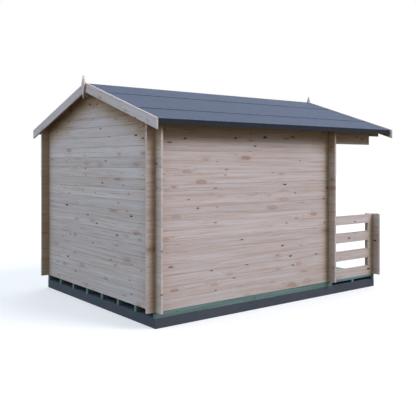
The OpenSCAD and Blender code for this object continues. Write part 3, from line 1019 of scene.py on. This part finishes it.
# %% Hinges
hinge_low, hinge_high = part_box("door_hinges")
HINGE_L, KNUCKLES, FLAP_T, GROOVE = 0.090, 5, 0.002, 0.0006
BARREL_R, PIN_END = 0.0078, 0.0015
hinge_screw = head_profile(radius=0.0028, sunk=0.001, proud=0.0006)
hinge_x = (-leaf_low.x + inner_half) / 2
barrel_y = (hinge_low.y + hinge_high.y) / 2
flap_w = hinge_high.x - hinge_x
hinge_feet = (hinge_low.z, (hinge_low.z + hinge_high.z - HINGE_L) / 2, hinge_high.z - HINGE_L)


def barrel_profile():
    """Knuckles one above another, with a rounded button at each end of the pin."""
    profile = [(0, 0), (BARREL_R * 0.6, 0), (BARREL_R, PIN_END)]
    for i in range(1, KNUCKLES):
        height = HINGE_L * i / KNUCKLES
        profile += [(BARREL_R, height - GROOVE), (BARREL_R - GROOVE, height), (BARREL_R, height + GROOVE)]
    return profile + [(BARREL_R, HINGE_L - PIN_END), (BARREL_R * 0.6, HINGE_L), (0, HINGE_L)]


hinges = Timbers("door_hinge_set", satin_steel, "door_metal", 0.0004)
for side in (-1, 1):
    for foot in hinge_feet:
        hinges.turned(barrel_profile(), upright((side * hinge_x, barrel_y, foot)), 20)
        for flap_side in (-1, 1):
            x_low = side * hinge_x - (flap_w if flap_side < 0 else 0)
            matrix = placed((x_low, hinge_high.y, foot), *ALONG_X)
            hinges.rectangle(flap_w, HINGE_L, FLAP_T, matrix)
            for share in (0.2, 0.5, 0.8):
                x = side * hinge_x + flap_side * flap_w * 0.72
                centre = (x, hinge_high.y - FLAP_T, foot + share * HINGE_L)
                hinges.turned(hinge_screw, placed(centre, *ALONG_X), 10)
hinges.piece("door_hinges")

# %% Handle
handle_low, handle_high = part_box("door_handle")
PLATE_W, PLATE_T, PLATE_R, LEVER_R, KEYHOLE_DROP = 0.035, 0.006, 0.012, 0.0075, 0.055
plate_h = handle_high.z - handle_low.z
plate_x = handle_low.x + PLATE_W / 2
spindle_z = (handle_low.z + handle_high.z) / 2
lever_y = handle_low.y + LEVER_R
corners = [(0, 0), (PLATE_W, 0), (PLATE_W, plate_h), (0, plate_h)]
plate = []
for i, corner in enumerate(corners):
    plate += bend(corner, corners[i - 1], corners[(i + 1) % 4], PLATE_R)
handle = Timbers("door_lever", satin_steel, "door_metal", 0.001)
handle.plank(plate, PLATE_T, placed((handle_low.x, handle_high.y, handle_low.z), *ALONG_X))
SPINDLE_R, SPINDLE_TIP = 0.011, 0.0415
spindle = [(0, 0), (SPINDLE_R, 0), (SPINDLE_R, 0.004), (LEVER_R, 0.008),
           (LEVER_R, handle_high.y - PLATE_T - lever_y), (0, SPINDLE_TIP)]
handle.turned(spindle, placed((plate_x, handle_high.y - PLATE_T, spindle_z), *ALONG_X), 20)
lever_l = handle_high.x - plate_x + LEVER_R
lever = [(0, 0), (LEVER_R * 0.7, 0.0015), (LEVER_R, 0.006), (LEVER_R, lever_l * 0.5),
         (LEVER_R * 0.85, lever_l - 0.005), (LEVER_R * 0.6, lever_l - 0.0015), (0, lever_l)]
handle.turned(lever, placed((plate_x - LEVER_R, lever_y, spindle_z), *ALONG_Y), 20)
keyhole = head_profile(radius=0.006, sunk=0.001, proud=0.002)
handle.turned(keyhole, placed((plate_x, handle_high.y - PLATE_T, spindle_z - KEYHOLE_DROP), *ALONG_X), 16)
handle.piece("door_handle")

# %% [markdown]
# ## Studio
# A pale floor, an even sky and three broad lamps. The warm one lights the long wall, which
# is the bright one; a cool one leaves the rear wall in soft shade, and the third fills in the
# front. Seen straight on, in metal or through glass, sky and floor are white, and the floor
# keeps the cabin's shadow. To other rays both are dull, so that little light is thrown up
# under the eaves.

# %% Sky and floor
def seen_directly(shader):
    """1 for what the camera sees, straight on, in metal or through glass; 0 for other rays."""
    straight, mirrored, through = (
        shader.node("ShaderNodeLightPath", {}, {}, f"Is {kind} Ray")
        for kind in ("Camera", "Glossy", "Transmission")
    )
    return (straight + mirrored + through).clamped()


SKY_STRENGTH = 0.5
SKY_BLUE = (0.76, 0.88, 1.0, 1.0)
WHITE = (1, 1, 1, 1)
sky = Shader("sky", bpy.data.worlds)
daylight = sky.node("ShaderNodeBackground", {}, {"Color": SKY_BLUE, "Strength": SKY_STRENGTH})
backdrop = sky.node("ShaderNodeBackground", {}, {"Color": WHITE, "Strength": 1.0})
above = sky.node("ShaderNodeMixShader", {}, {0: seen_directly(sky), 1: daylight, 2: backdrop})
sky.node("ShaderNodeOutputWorld", {}, {"Surface": above})
bpy.context.scene.world = sky.material

FLOOR_DULL = srgb(104, 102, 98)
WHITE_SHARE = 0.45
FLOOR_REACH = 60
ground = Shader("studio_floor")
seen = seen_directly(ground)
pale = ground.node("ShaderNodeBsdfDiffuse", {}, {"Color": ground.mix(seen, FLOOR_DULL, WHITE)})
glow = ground.node("ShaderNodeEmission", {}, {"Color": WHITE, "Strength": 1.0})
laid = ground.node("ShaderNodeMixShader", {}, {0: seen * WHITE_SHARE, 1: pale, 2: glow})
ground.node("ShaderNodeOutputMaterial", {}, {"Surface": laid})
corners = [(x * FLOOR_REACH, y * FLOOR_REACH, 0) for x, y in ((-1, -1), (1, -1), (1, 1), (-1, 1))]
floor_mesh = bpy.data.meshes.new("studio_floor")
floor_mesh.from_pydata(corners, [], [(0, 1, 2, 3)])
floor_mesh.materials.append(ground.material)
studio_floor = in_scene("studio_floor", floor_mesh)
print(f"sky at strength {SKY_STRENGTH}, floor {2 * FLOOR_REACH} m across")

# %% Lamps
def broad_lamp(name, towards, strength, colour, width):
    """A soft lamp far away, which lights from the direction of a vector."""
    data = bpy.data.lights.new(name, "SUN")
    data.energy, data.color, data.angle = strength, colour, math.radians(width)
    lamp = in_scene(name, data)
    lamp.rotation_mode = "QUATERNION"
    lamp.rotation_quaternion = Vector(towards).to_track_quat("Z", "Y")
    print(f"{name}: strength {strength}, {width} degrees wide")


broad_lamp("side_lamp", (-0.72, -0.45, 0.72), 2.3, (1.0, 0.94, 0.95), 30)
broad_lamp("rear_lamp", (-0.05, 0.85, 0.60), 1.55, (0.65, 0.82, 1.0), 70)
broad_lamp("front_lamp", (0.60, -0.80, 0.50), 1.6, (0.96, 0.98, 1.0), 60)

# %% [markdown]
# ## Camera
# The camera stands at a person's eye height behind the cabin's left corner. It is held
# level, so that upright edges stay upright, and its lens is shifted down a little instead of
# tilting, as an architect's camera does.

# %% Camera
EYE, HEADING = (-6.9947, 5.5216, 1.8088), -0.6619
camera_data = bpy.data.cameras.new("camera")
camera_data.sensor_width = 36
camera_data.lens = 53.09
camera_data.shift_y = -0.1106
camera = in_scene("camera", camera_data)
camera.location = EYE
camera.rotation_mode = "QUATERNION"
camera.rotation_quaternion = (-Vector((math.cos(HEADING), math.sin(HEADING), 0))).to_track_quat("Z", "Y")
bpy.context.scene.camera = camera
bpy.context.scene.view_settings.view_transform = "Standard"
print("camera at", EYE, "heading", HEADING)
